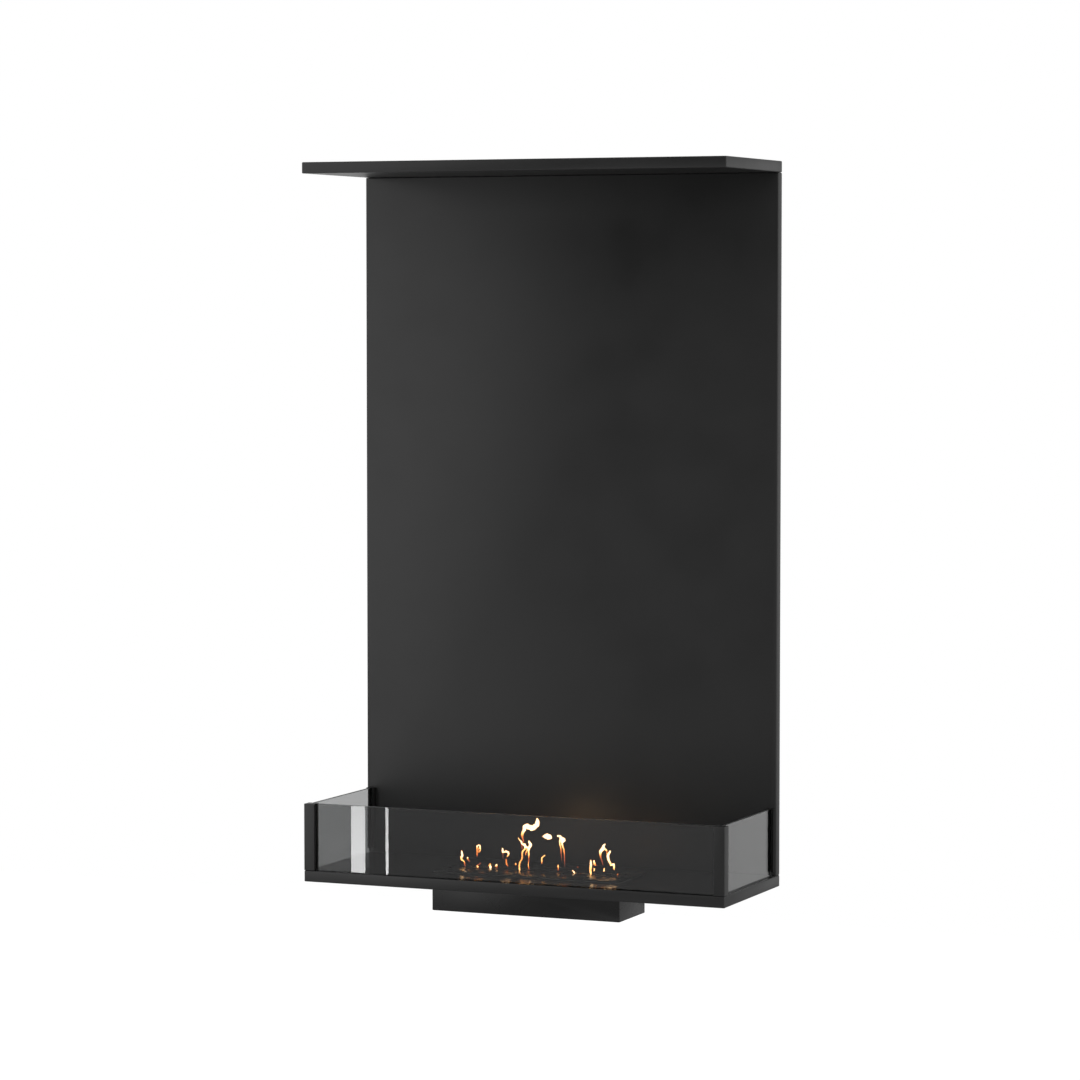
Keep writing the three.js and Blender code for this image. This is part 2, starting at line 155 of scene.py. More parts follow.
def makeCoat(name, coat):
    material, tree = newMaterial(name)
    place = inMillimetres(tree)
    peel = addNode(tree, "TexNoise", {"Vector": place, "Scale": 1 / coat["peel"], "Detail": 2.0})
    speck = addNode(tree, "TexNoise", {"Vector": place, "Scale": 1 / coat["speck"], "Detail": 1.0})
    cloud = addNode(tree, "TexNoise", {"Vector": place, "Scale": 1 / coat["cloud"], "Detail": 3.0})
    low, high = coat["roughness"]
    thin, thick = coat["cloudSpan"]
    colour = addNode(tree, "Mix", {0: speck.outputs[0], 6: linear(coat["dark"]), 7: linear(coat["light"])},
                     data_type="RGBA")
    roughness = addNode(tree, "MapRange", {"Value": cloud.outputs[0], "From Min": thin, "From Max": thick,
                                           "To Min": low, "To Max": high})
    bump = addNode(tree, "Bump", {"Height": peel.outputs[0], "Distance": coat["depth"] * mm})
    surfaceFrom(tree, addNode(tree, "BsdfPrincipled", {
        "Base Color": colour.outputs[2], "Roughness": roughness.outputs[0], "IOR": coat["ior"],
        "Normal": bump.outputs[0]}))
    return material


# Stainless steel, cold rolled: fine lines along the sheet draw the highlights out across it
stainless = {"dark": "#a9a8a4", "light": "#c4c3bf", "roughness": (0.24, 0.4), "line": 0.5, "lineLength": 60,
             "depth": 0.004}


def makeStainless(name):
    material, tree = newMaterial(name)
    shrink = stainless["line"] / stainless["lineLength"]
    place = inMillimetres(tree, (shrink, 1, 1))
    lines = addNode(tree, "TexNoise", {"Vector": place, "Scale": 1 / stainless["line"], "Detail": 3.0})
    low, high = stainless["roughness"]
    colour = addNode(tree, "Mix", {0: lines.outputs[0], 6: linear(stainless["dark"]),
                                   7: linear(stainless["light"])}, data_type="RGBA")
    roughness = addNode(tree, "MapRange", {"Value": lines.outputs[0], "To Min": low, "To Max": high})
    bump = addNode(tree, "Bump", {"Height": lines.outputs[0], "Distance": stainless["depth"] * mm})
    surfaceFrom(tree, addNode(tree, "BsdfPrincipled", {
        "Base Color": colour.outputs[2], "Metallic": 1.0, "Roughness": roughness.outputs[0],
        "Normal": bump.outputs[0]}))
    return material


# Hot-dip galvanised steel: zinc crystals a few millimetres across, each turned to the light its own way
galvanised = {"dark": "#9a9fa3", "light": "#c3c7c9", "roughness": (0.34, 0.52), "spangle": 7}
# Bright zinc on the fasteners, with smaller crystals that hardly show
zincPlate = {"dark": "#a8a9a6", "light": "#bdbdb6", "roughness": (0.26, 0.34), "spangle": 1.2}


def makeZinc(name, zinc):
    material, tree = newMaterial(name)
    place = inMillimetres(tree)
    crystal = addNode(tree, "TexVoronoi", {"Vector": place, "Scale": 1 / zinc["spangle"]})
    shade = addNode(tree, "RGBToBW", {"Color": crystal.outputs["Color"]}).outputs[0]
    low, high = zinc["roughness"]
    colour = addNode(tree, "Mix", {0: shade, 6: linear(zinc["dark"]), 7: linear(zinc["light"])},
                     data_type="RGBA")
    roughness = addNode(tree, "MapRange", {"Value": shade, "To Min": low, "To Max": high})
    surfaceFrom(tree, addNode(tree, "BsdfPrincipled", {
        "Base Color": colour.outputs[2], "Metallic": 1.0, "Roughness": roughness.outputs[0]}))
    return material


# Black oxide on the small steel parts: an oiled, thin dark skin with a dull gleam
blackOxide = {"dark": "#101011", "light": "#1a1a1b", "roughness": (0.36, 0.5), "patch": 1.5}


def makeBlackOxide(name):
    material, tree = newMaterial(name)
    patch = addNode(tree, "TexNoise", {"Vector": inMillimetres(tree), "Scale": 1 / blackOxide["patch"]})
    low, high = blackOxide["roughness"]
    colour = addNode(tree, "Mix", {0: patch.outputs[0], 6: linear(blackOxide["dark"]),
                                   7: linear(blackOxide["light"])}, data_type="RGBA")
    roughness = addNode(tree, "MapRange", {"Value": patch.outputs[0], "To Min": low, "To Max": high})
    surfaceFrom(tree, addNode(tree, "BsdfPrincipled", {
        "Base Color": colour.outputs[2], "Roughness": roughness.outputs[0]}))
    return material


# Toughened float glass, tinted grey in the melt: smooth, clear, and dark enough to halve what is behind it.
# The front pane is given a darker tint than the other two, to match the photograph.
tintedGlass = {"tint": "#b5b6b6", "frontTint": "#9b9c9c", "groundTint": "#6f7473", "ior": 1.5,
               "haze": 0.0015, "groundHaze": 0.7, "cleanShare": 0.6, "smear": 45, "smearSpan": (0.35, 0.75)}


def makeGlass(name, tint, haze):
    material, tree = newMaterial(name)
    clean, smeared = tintedGlass["smearSpan"]
    smear = addNode(tree, "TexNoise", {"Vector": inMillimetres(tree), "Scale": 1 / tintedGlass["smear"]})
    roughness = addNode(tree, "MapRange", {"Value": smear.outputs[0], "From Min": clean, "From Max": smeared,
                                           "To Min": haze * tintedGlass["cleanShare"], "To Max": haze})
    surfaceFrom(tree, addNode(tree, "BsdfPrincipled", {
        "Base Color": linear(tint), "Roughness": roughness.outputs[0], "IOR": tintedGlass["ior"],
        "Transmission Weight": 1.0}))
    return material


# Silicone rubber strip, extruded: matt, with a dusty bloom
rubber = {"dark": "#0c0c0c", "light": "#171717", "roughness": 0.85, "bloom": 3}


def makeRubber(name):
    material, tree = newMaterial(name)
    bloom = addNode(tree, "TexNoise", {"Vector": inMillimetres(tree), "Scale": 1 / rubber["bloom"]})
    colour = addNode(tree, "Mix", {0: bloom.outputs[0], 6: linear(rubber["dark"]),
                                   7: linear(rubber["light"])}, data_type="RGBA")
    surfaceFrom(tree, addNode(tree, "BsdfPrincipled", {
        "Base Color": colour.outputs[2], "Roughness": rubber["roughness"]}))
    return material


# Ceramic fibre blanket, needled: off-white, matt and woolly, with soot stains where it burns
wool = {"dark": "#b9b4a8", "light": "#e2ded4", "soot": "#6b655c", "roughness": 0.95, "fibre": 0.8,
        "fibreLength": 9, "curl": 0.6, "depth": 0.6, "stain": 34, "stainSpan": (0.55, 0.8), "stainMost": 0.6}


def makeWool(name):
    material, tree = newMaterial(name)
    shrink = wool["fibre"] / wool["fibreLength"]
    ways = [inMillimetres(tree, stretch) for stretch in ((shrink, 1, 1), (1, shrink, 1))]
    fibres = [addNode(tree, "TexNoise", {"Vector": way, "Scale": 1 / wool["fibre"], "Detail": 4.0,
                                         "Distortion": wool["curl"]}) for way in ways]
    felt = addNode(tree, "Math", {0: fibres[0].outputs[0], 1: fibres[1].outputs[0]}, operation="MAXIMUM")
    stain = addNode(tree, "TexNoise", {"Vector": inMillimetres(tree), "Scale": 1 / wool["stain"]})
    edge, heart = wool["stainSpan"]
    share = addNode(tree, "MapRange", {"Value": stain.outputs[0], "From Min": edge, "From Max": heart,
                                       "To Min": 0.0, "To Max": wool["stainMost"]})
    clean = addNode(tree, "Mix", {0: felt.outputs[0], 6: linear(wool["dark"]), 7: linear(wool["light"])},
                    data_type="RGBA")
    stained = addNode(tree, "Mix", {0: share.outputs[0], 6: clean.outputs[2], 7: linear(wool["soot"])},
                      data_type="RGBA")
    bump = addNode(tree, "Bump", {"Height": felt.outputs[0], "Distance": wool["depth"] * mm})
    surfaceFrom(tree, addNode(tree, "BsdfPrincipled", {
        "Base Color": stained.outputs[2], "Roughness": wool["roughness"], "Normal": bump.outputs[0]}))
    return material


# by material slot
finishes = {
    "powder_coat_black": makeCoat("powder coat, satin black", powderCoat),
    "housing_black": makeCoat("powder coat on the housing", housingCoat),
    # the channels' dark colour is partly painted shade of the slots
    "channel_black": makeCoat("dull black paint and painted slot shade", channelPaintAndSlotShade),
    "steel_galvanised": makeZinc("galvanised steel", galvanised),
    "steel_stainless": makeStainless("stainless steel, rolled"),
    "fastener_zinc": makeZinc("bright zinc plate", zincPlate),
    "fastener_black": makeBlackOxide("black oxide"),
    "glass_tinted": makeGlass("tinted float glass", tintedGlass["tint"], tintedGlass["haze"]),
    "gasket_rubber": makeRubber("silicone rubber"),
    "ceramic_wool": makeWool("ceramic fibre"),
}
trayFinish = makeCoat("powder coat, smooth", trayCoat)
frontGlass = makeGlass("tinted float glass, front pane", tintedGlass["frontTint"], tintedGlass["haze"])
groundGlass = makeGlass("tinted glass, ground edge", tintedGlass["groundTint"], tintedGlass["groundHaze"])
print("finishes made")


# ---- Carried-over nodes ----

slotOf = {part["node"]: part["material_slot"] for part in frame["record"]["subparts"]}
for nodeName, nodeObject in frame["nodes"].items():
    nodeObject.data.materials.clear()
    nodeObject.data.materials.append(finishes[slotOf[nodeName]])


def addPiece(name, mesh, node, *materials):
    # a piece that stands for a node: it takes the node's body, slot and finish
    piece = bpy.data.objects.new(name, mesh)
    scene.collection.objects.link(piece)
    mesh.materials.clear()
    for material in materials or [finishes[slotOf[node]]]:
        mesh.materials.append(material)
    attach(piece, frame["nodes"][node]["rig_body"])
    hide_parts(node)
    return piece


# ---- Folded, cut and ground pieces ----

# Radii in mm. bend is the outside of a fold, cut the eased edge of the sheet.
edges = {
    "top_panel": {"bend": 1.8, "cut": 0.35, "sheet": 2},
    "back_panel": {"bend": 1.8, "cut": 0.35, "sheet": 2},
    "base_tray": {"bend": 1.8, "cut": 0.35, "sheet": 2},
    "corner_post_left": {"bend": 0.8, "cut": 0.3, "sheet": 2},
    "corner_post_right": {"bend": 0.8, "cut": 0.3, "sheet": 2},
    "burner_housing": {"bend": 1.8, "cut": 0.35, "sheet": 2},
    "burner_cover": {"bend": 0.25, "cut": 0.25, "sheet": 2},
    "burner_tank": {"bend": 1.2, "cut": 0.3, "sheet": 1.5},
    "spill_tray": {"bend": 1.0, "cut": 0.25, "sheet": 1.2},
    "shutter": {"bend": 0.3, "cut": 0.3, "sheet": 1.5},
    "shutter_runner_left": {"bend": 0.3, "cut": 0.3, "sheet": 1.5},
    "shutter_runner_right": {"bend": 0.3, "cut": 0.3, "sheet": 1.5},
    "rear_channel_left": {"bend": 0.5, "cut": 0.25, "sheet": 1.5},
    "rear_channel_right": {"bend": 0.5, "cut": 0.25, "sheet": 1.5},
    "wall_rail_left": {"bend": 1.6, "cut": 0.3, "sheet": 2},
    "wall_rail_right": {"bend": 1.6, "cut": 0.3, "sheet": 2},
    "glass_channel_front": {"bend": 0.4, "cut": 0.2, "sheet": 1.5},
    "glass_channel_left": {"bend": 0.4, "cut": 0.2, "sheet": 1.5},
    "glass_channel_right": {"bend": 0.4, "cut": 0.2, "sheet": 1.5},
}
folding = {
    "weld": 0.005,  # mm between corners that are one
    "flat": 0.5,  # degrees between triangles of one face
    "crease": 30,  # degrees: gentler edges belong to round surfaces
    "smallest": 3,  # mm: shorter edges belong to round holes and stay as they are
    "broad": 1.6,  # sheet thicknesses: a fold has a broader face on both sides, a cut edge hasn't
    "segments": 3,
}
upward = 0.9  # the tray's faces whose normals point up more than this get the smooth coat


def mergedCopy(node):
    # the node's loose triangles as one skin with its flat faces whole
    bm = bmesh.new()
    bm.from_mesh(frame["nodes"][node].data)
    bmesh.ops.remove_doubles(bm, verts=bm.verts, dist=folding["weld"] * mm)
    bmesh.ops.dissolve_limit(bm, angle_limit=radians(folding["flat"]), use_dissolve_boundaries=False,
                             verts=bm.verts, edges=bm.edges, delimit={"NORMAL"})
    return bm


def faceWidth(face):
    return 2 * face.calc_area() / face.calc_perimeter()


def easeEdges(node, bend, cut, sheet):
    bm = mergedCopy(node)
    weight = bm.edges.layers.float.new("bevel_weight_edge")
    for edge in bm.edges:
        if not edge.is_manifold or edge.calc_face_angle() < radians(folding["crease"]):
            continue
        if edge.is_convex and edge.calc_length() > folding["smallest"] * mm:
            narrower = min(faceWidth(face) for face in edge.link_faces)
            edge[weight] = 1 if narrower > folding["broad"] * sheet * mm else cut / bend
        else:
            edge.smooth = False
    for face in bm.faces:
        face.smooth = True
    mesh = bpy.data.meshes.new(node + "_eased")
    bm.to_mesh(mesh)
    bm.free()
    return mesh


def softenPiece(node, bend, cut, sheet):
    mesh = easeEdges(node, bend, cut, sheet)
    piece = addPiece(node + "_eased", mesh, node, finishes[slotOf[node]])
    if node == "base_tray":
        mesh.materials.append(trayFinish)
        for face in mesh.polygons:
            face.material_index = int(face.normal.z > upward)
    bevel = piece.modifiers.new("edges", "BEVEL")
    bevel.limit_method = "WEIGHT"
    bevel.width = bend * mm
    bevel.segments = folding["segments"]
    bevel.profile = 0.5
    bevel.use_clamp_overlap = False
    bevel.loop_slide = False
    bevel.harden_normals = True


for nodeName, radii in edges.items():
    softenPiece(nodeName, **radii)
print("edges eased on", len(edges), "pieces")


# ---- Glass panes ----

panes = {"chamfer": 0.4}  # mm, ground at 45 degrees; the edges are ground matt


def makePane(node, glass):
    bm = mergedCopy(node)
    bmesh.ops.bevel(bm, geom=bm.edges[:], offset=panes["chamfer"] * mm, offset_type="OFFSET", affect="EDGES",
                    segments=1, profile=0.5, material=-1, clamp_overlap=True)
    mesh = bpy.data.meshes.new(node + "_ground")
    bm.to_mesh(mesh)
    bm.free()
    pane = addPiece(node + "_ground", mesh, node, glass, groundGlass)
    # all but the two broad faces are ground
    widest = max(face.area for face in mesh.polygons)
    for face in mesh.polygons:
        face.material_index = int(face.area < widest / 2)
    return pane


frontPane = makePane("glass_front", frontGlass)
sidePanes = [makePane("glass_" + side, finishes["glass_tinted"]) for side in ("left", "right")]
print("panes made")


# ---- Turned pieces: screws, bolts, nuts and the knob ----

# Radii and heights in mm
metric = {
    "m3": {"shank": 1.5, "head": 2.8, "tall": 1.8, "socket": 1.15},
    "m4": {"shank": 2.0, "head": 4.0, "tall": 2.8, "socket": 1.45},
    "m5": {"shank": 2.5, "head": 4.6, "tall": 3.5, "socket": 1.75},
}
# shares of a head's radius and of its height
socketHead = {"floor": 0.4, "crown": 0.72, "brow": 0.93, "browHeight": 0.86, "side": 0.6}
hexHead = {"crown": 0.84, "shoulder": 0.88}
roundSides = 24
tipChamfer = 0.4
nutPlay = 0.2  # round the shank


def ringEdges(verts):
    # each edge once, in the same order at every run
    return list(dict.fromkeys(edge for vert in verts for edge in vert.link_edges))


def turnRings(bm, rings, closed=False):
    # rings are (sides, radius, height) in mm, joined one to the next; the ends are capped or joined up
    loops = []
    for sides, radius, height in rings:
        made = bmesh.ops.create_circle(bm, cap_ends=False, segments=sides, radius=radius * mm,
                                       matrix=Matrix.Translation((0, 0, height * mm)))
        loops.append(ringEdges(made["verts"]))
    following = loops[1:] + loops[:1] if closed else loops[1:]
    for lower, upper in zip(loops, following):
        bmesh.ops.bridge_loops(bm, edges=lower + upper)
    if not closed:
        for loop in (loops[0], loops[-1]):
            bmesh.ops.edgeloop_fill(bm, edges=loop)
    bmesh.ops.recalc_face_normals(bm, faces=bm.faces)


def socketScrew(size, length):
    shank, head, tall, socket = (metric[size][key] for key in ("shank", "head", "tall", "socket"))
    form = socketHead
    return [(6, socket, tall * form["floor"]), (6, socket, tall), (roundSides, head * form["crown"], tall),
            (roundSides, head * form["brow"], tall * form["browHeight"]),
            (roundSides, head, tall * form["side"]), (roundSides, head, 0),
            (roundSides, shank, 0), (roundSides, shank, tipChamfer - length),
            (roundSides, shank - tipChamfer, -length)]


def hexBolt(size, length):
    shank, head, tall = (metric[size][key] for key in ("shank", "head", "tall"))
    return [(roundSides, head * hexHead["crown"], tall), (6, head, tall * hexHead["shoulder"]), (6, head, 0),
            (roundSides, shank, 0), (roundSides, shank, tipChamfer - length),
            (roundSides, shank - tipChamfer, -length)]


def hexNut(size, length):
    shank, head, tall = (metric[size][key] for key in ("shank", "head", "tall"))
    bore, crown, shoulder = shank + nutPlay, head * hexHead["crown"], tall * hexHead["shoulder"]
    return [(roundSides, bore, 0), (roundSides, crown, 0), (6, head, tall - shoulder),
            (6, head, shoulder), (roundSides, crown, tall), (roundSides, bore, tall)]


# start of the node names, form, size, and the way that the head faces
fasteners = [
    ("cover_screw", socketScrew, "m3", "+Z"),
    ("rear_channel_screw", socketScrew, "m3", "+Y"),
    ("corner_post_screw", socketScrew, "m4", "-Z"),
    ("top_bolt", hexBolt, "m5", "+Z"),
    ("tray_bolt", hexBolt, "m5", "+Z"),
    ("housing_nut", hexNut, "m4", "+Z"),
    ("wall_rail_nut", hexNut, "m5", "+Y"),
]
facing = {
    "+Z": Matrix.Identity(4),
    "-Z": Matrix.Rotation(pi, 4, "X"),
    "+Y": Matrix.Rotation(-pi / 2, 4, "X"),
}


def makeFastener(node, form, size, way):
    low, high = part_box(node)
    along = "XYZ".index(way[1])
    tall = metric[size]["tall"] * mm
    length = (high[along] - low[along] - tall) / mm
    seat = (low + high) / 2  # becomes the point under the head, on the shank's line
    seat[along] = high[along] - tall if way[0] == "+" else low[along] + tall
    bm = bmesh.new()
    turnRings(bm, form(size, length), closed=form is hexNut)
    bmesh.ops.transform(bm, matrix=Matrix.Translation(seat) @ facing[way], verts=bm.verts)
    mesh = bpy.data.meshes.new(node + "_turned")
    bm.to_mesh(mesh)
    bm.free()
    addPiece(node + "_turned", mesh, node)


for start, form, size, way in fasteners:
    for nodeName in sorted(name for name in frame["nodes"] if name.startswith(start)):
        makeFastener(nodeName, form, size, way)

knob = {
    "sides": 40,
    "flute": 0.95,  # share of the radius that the flutes keep
    "ease": 0.5,
    "stem": 2,
    "grip": 4,  # height of the part that the finger pushes
    "dish": 2.6,
    "dishSlope": 0.6,
    "dishDepth": 0.4,
}


def makeKnob(node):
    low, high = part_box(node)
    radius = (high.x - low.x) / 2 / mm
    tall = (high.z - low.z) / mm
    grip = tall - knob["grip"]
    sides, ease, dish = knob["sides"], knob["ease"], knob["dish"]
    bm = bmesh.new()
    turnRings(bm, [(sides, knob["stem"], 0), (sides, knob["stem"], grip), (sides, radius - ease, grip),
                   (sides, radius, grip + ease), (sides, radius, tall - ease), (sides, radius - ease, tall),
                   (sides, dish, tall), (sides, dish - knob["dishSlope"], tall - knob["dishDepth"])])
    # every second point of the rim goes in, which leaves flutes for the finger
    rim = [vert for vert in bm.verts if vert.co.xy.length > (radius - ease / 2) * mm]
    for vert in rim:
        if round(atan2(vert.co.y, vert.co.x) / (2 * pi) * sides) % 2:
            bmesh.ops.scale(bm, vec=(knob["flute"], knob["flute"], 1), verts=[vert])
    bmesh.ops.translate(bm, vec=((low.x + high.x) / 2, (low.y + high.y) / 2, low.z), verts=bm.verts)
    mesh = bpy.data.meshes.new(node + "_fluted")
    bm.to_mesh(mesh)
    bm.free()
    addPiece(node + "_fluted", mesh, node)


makeKnob("shutter_knob")
print("screws, bolts, nuts and knob made")


# ---- Ceramic wool ----

# mm, but for rows and squash
pad = {
    "round": 5,
    "rows": 60,
    "shortest": 60,  # longer edges are cut into rows
    "lump": 24,
    "lumpDepth": 1.2,
    "tuft": 5,
    "tuftDepth": 0.5,
    "squash": 4,  # how much more the lumps go down than in from the sides
}


def makeWoolPad(node):
    low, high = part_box(node)
    middle = (low + high) / 2
    bm = bmesh.new()
    bmesh.ops.create_cube(bm, size=1, matrix=Matrix.Translation(middle) @ Matrix.Diagonal((*(high - low), 1)))
    bmesh.ops.bevel(bm, geom=bm.edges[:], offset=pad["round"] * mm, offset_type="OFFSET", affect="EDGES",
                    segments=3, profile=0.5, material=-1, clamp_overlap=True)
    longEdges = [edge for edge in bm.edges if edge.calc_length() > pad["shortest"] * mm]
    bmesh.ops.subdivide_edges(bm, edges=longEdges, cuts=pad["rows"], use_grid_fill=True)
    bmesh.ops.triangulate(bm, faces=[face for face in bm.faces if len(face.verts) > 4])
    for vert in bm.verts:
        swell = noise.noise(vert.co / (pad["lump"] * mm)) * pad["lumpDepth"]
        swell += noise.noise(vert.co / (pad["tuft"] * mm)) * pad["tuftDepth"]
        inward = (middle - vert.co).normalized() * (swell + pad["lumpDepth"] + pad["tuftDepth"]) * mm
        vert.co += Vector((inward.x, inward.y, inward.z * pad["squash"]))
    for face in bm.faces:
        face.smooth = True
    mesh = bpy.data.meshes.new(node + "_blanket")
    bm.to_mesh(mesh)
    bm.free()
    return addPiece(node + "_blanket", mesh, node)


makeWoolPad("ceramic_wool")
print("wool made")


# ---- Flames ----

# Each tongue is a line of points: place along the slot from its middle, height over the cover and radius,
# all in mm, and heat from 0, a brown wisp, by way of 0.5, orange, to 1, white
flames = {
    "a": [
        [(-153, 28, 0.6, 1), (-152.5, 23, 1.7, 1), (-152, 18, 1.9, 0.95), (-154, 14, 2, 0.72),
         (-151, 9, 1.3, 0.7), (-148, 4, 1.2, 0.35), (-145, 0, 1.5, 0.12)],
        [(-142, 16, 1, 0.8), (-142, 15, 1.6, 0.85), (-140, 12, 1.2, 0.35), (-138, 7, 0.9, 0.12)],
    ],
    "b": [
        [(-125, 17, 0.8, 0.1), (-124, 20, 1.2, 0.3), (-124, 24, 1.2, 0.45), (-124.5, 31, 1, 0.6),
         (-123, 36, 1.2, 0.85), (-120.5, 38.5, 1.4, 1), (-118, 35.5, 1.3, 0.9), (-118.3, 30.5, 1.1, 0.7),
         (-120.5, 25.5, 1.2, 0.45)],
        [(-120.8, 34.5, 1.7, 0.45), (-121.5, 31, 1.9, 0.42), (-122, 27, 1.6, 0.4)],
        [(-123.5, -2, 1.5, 0.6), (-123, 1, 1.8, 0.78), (-121, 3, 1.2, 0.3), (-117, 7, 1.1, 0.15)],
    ],
    "c": [
        [(-97, 8, 0.7, 0.5), (-99.5, 4.5, 1.7, 0.55), (-100.5, 1.5, 1.6, 0.5)],
        [(-97, 5, 1.2, 0.7), (-97, 1, 2, 1), (-96, -2, 1.6, 0.95), (-93.5, -5, 1, 0.5)],
        [(-88, 2, 1, 0.6), (-86.3, 4.8, 1.5, 1), (-84.5, 2, 1, 0.4), (-84, -1.5, 0.9, 0.15)],
    ],
    "d": [
        [(-75, 36, 0.7, 1), (-74.5, 32, 1.7, 1), (-73, 29.5, 1.9, 1), (-69.5, 29.5, 1.7, 0.85),
         (-66.5, 31, 1.8, 0.9), (-63.5, 29, 1.9, 1), (-63, 25, 1.6, 0.8), (-64.5, 21, 1.1, 0.45)],
        [(-68.5, 17, 0.9, 0.35), (-67, 13, 1.5, 0.42), (-64.5, 8, 1.5, 0.42), (-63, 4, 1, 0.3)],
        [(-72.5, 27, 1, 0.25), (-72, 22, 0.8, 0.15), (-71.5, 17, 0.6, 0.08)],
        [(-49.5, 10.5, 1, 0.6), (-49, 8, 1.5, 0.55), (-49, 6, 1, 0.3)],
    ],
    "e": [
        [(-8.5, 93, 0.8, 0.8), (-6.5, 90, 2.8, 1), (-5, 86.5, 3.9, 1), (-7.5, 81.5, 4.2, 1),
         (-12, 77, 4.3, 1), (-17, 75, 4.6, 1), (-22, 76.5, 4.5, 1), (-27, 78, 4.3, 1), (-30.5, 75, 3.6, 1),
         (-33, 69.5, 2.8, 0.95), (-34.5, 64.5, 2.2, 0.72), (-34.5, 59, 1.8, 0.42), (-33.5, 53, 1.3, 0.28),
         (-33, 48, 1, 0.25)],
        [(-42, 57, 0.6, 0.75), (-40, 52.5, 1.2, 0.8), (-37.5, 48.5, 1.9, 0.95), (-33, 45, 2.5, 1),
         (-29, 42, 2.6, 1), (-26.5, 39.5, 2.3, 1), (-25, 37.5, 1.8, 0.8)],
        [(-22, 53, 0.7, 1), (-21, 49, 2, 1), (-20, 44.5, 2.7, 1), (-21.5, 39, 2.3, 1),
         (-22.5, 34, 1.6, 0.8), (-21.5, 28, 1.4, 0.72), (-22.5, 22, 1.1, 0.4), (-24, 16, 0.9, 0.3),
         (-24.5, 9, 1.1, 0.6),
         (-24, 3, 1, 0.35), (-22.5, -1, 0.8, 0.12)],
        [(-25.5, 38, 1.5, 0.7), (-27, 32, 1.3, 0.55), (-28, 26, 0.9, 0.35)],
        [(-30, 39, 1.6, 0.8), (-33.5, 33, 1.5, 0.65), (-35.5, 26, 1.4, 0.58), (-37, 19, 1.4, 0.55),
         (-39.5, 11, 1.5, 0.6), (-40.5, 4, 1.5, 0.65), (-39.5, -1, 1.5, 0.75), (-38.5, -4, 1.2, 0.8)],
        [(-36, 45, 1.1, 0.3), (-37, 36, 1, 0.2)],
    ],
    "f": [
        [(3.5, 61, 0.8, 0.9), (7.5, 61.5, 2.6, 1), (12, 61.8, 5, 1), (16, 61, 4.8, 1), (20, 60.5, 3.4, 1),
         (22.5, 60, 1.4, 0.95)],
        [(8, 28, 0.8, 0.75), (5, 25, 1.1, 0.75), (2.5, 21, 1.2, 0.7), (2, 16, 1.2, 0.6), (3, 12, 0.8, 0.35)],
    ],
    "g": [
        [(31, 64, 0.8, 1), (35, 63.5, 1.7, 1), (39.5, 61, 2.9, 1), (43, 57.5, 3.4, 1), (45.5, 53.5, 2.8, 1)],
        [(37.5, 59, 1.8, 1), (36.5, 53, 1.4, 0.85), (37, 47, 1.3, 0.75), (38.5, 40, 1.1, 0.5),
         (40.5, 33, 0.9, 0.32), (41.5, 26, 0.7, 0.18), (42, 19, 0.5, 0.1)],
        [(41.5, 56, 2, 1), (42, 48, 1.5, 0.85), (43.5, 41, 1.3, 0.6), (44.5, 35, 1.3, 0.5), (46, 28, 1, 0.3),
         (46.5, 18, 0.9, 0.2), (47, 8, 0.5, 0.1)],
        [(39.3, 52, 1.1, 0.45), (39.5, 46, 0.8, 0.4)],
        [(33, 12, 1, 0.65), (33, 9, 1.2, 0.75), (33.5, 5.5, 1.1, 0.4), (32.5, 1, 0.8, 0.2)],
    ],
    "h": [
        [(62, 4, 0.8, 0.85), (63.5, 1, 1.3, 0.95), (65, -2.5, 0.8, 0.8)],
        [(72, 11, 1.3, 0.25), (71, 8.5, 1, 0.2)],
        [(75.5, -1, 1.2, 0.18), (77, -2, 0.8, 0.1)],
        [(54, 7, 0.7, 0.15), (54, 5, 0.5, 0.1)],
    ],
    "j": [
        [(96.5, 25, 0.6, 0.9), (97, 19, 1.9, 0.95), (95.5, 12, 2, 0.8), (95, 6, 1.9, 0.65),
         (95.5, 1, 1.7, 0.8), (96, -2.5, 0.9, 0.7)],
        [(101, 24, 0.8, 0.9), (103, 21.5, 1.8, 0.85), (105, 18, 1.9, 0.6), (106, 14.5, 1.6, 0.35)],
        [(103.5, 10, 1.2, 0.75), (102.5, 6, 1.2, 0.75), (101.5, 3.5, 0.7, 0.5)],
        [(99, 2, 0.9, 0.4), (98.5, 0.5, 0.7, 0.35)],
        [(104, 2, 0.9, 0.15), (104.5, 0.5, 0.7, 0.1)],
    ],
    "k": [
        [(124, 54.5, 0.8, 1), (122, 51, 2, 1), (120, 47, 3, 1), (117.5, 43, 3, 0.95),
         (115.5, 39, 2.5, 0.85), (115.5, 34.5, 1.8, 0.55), (117, 29, 1.1, 0.32), (118.5, 22, 0.9, 0.22),
         (119.5, 15, 0.6, 0.15)],
        [(121.5, 49, 2, 1), (124.5, 44, 1.6, 0.8), (126.5, 40.5, 1.3, 0.45), (129, 37.5, 1.4, 0.6)],
        [(122.5, 12, 0.9, 0.6), (121.5, 8, 1.3, 0.85), (120, 4.5, 1, 0.7)],
        [(133, 43, 1, 1), (131.5, 39.5, 1.9, 1), (130, 35, 2.2, 1), (130.5, 28, 2.2, 1),
         (132, 22, 1.9, 0.85), (134.5, 17.5, 1.6, 0.7), (138, 18.5, 1.9, 0.95), (140.5, 17.5, 1.9, 0.9),
         (141, 13, 1.6, 0.75), (140, 8.5, 1, 0.5)],
        [(130, 2, 1, 0.35), (131, 0.5, 0.8, 0.3)],
        [(147.5, 2.5, 1.3, 0.5), (149, 0.5, 1, 0.3)],
    ],
}
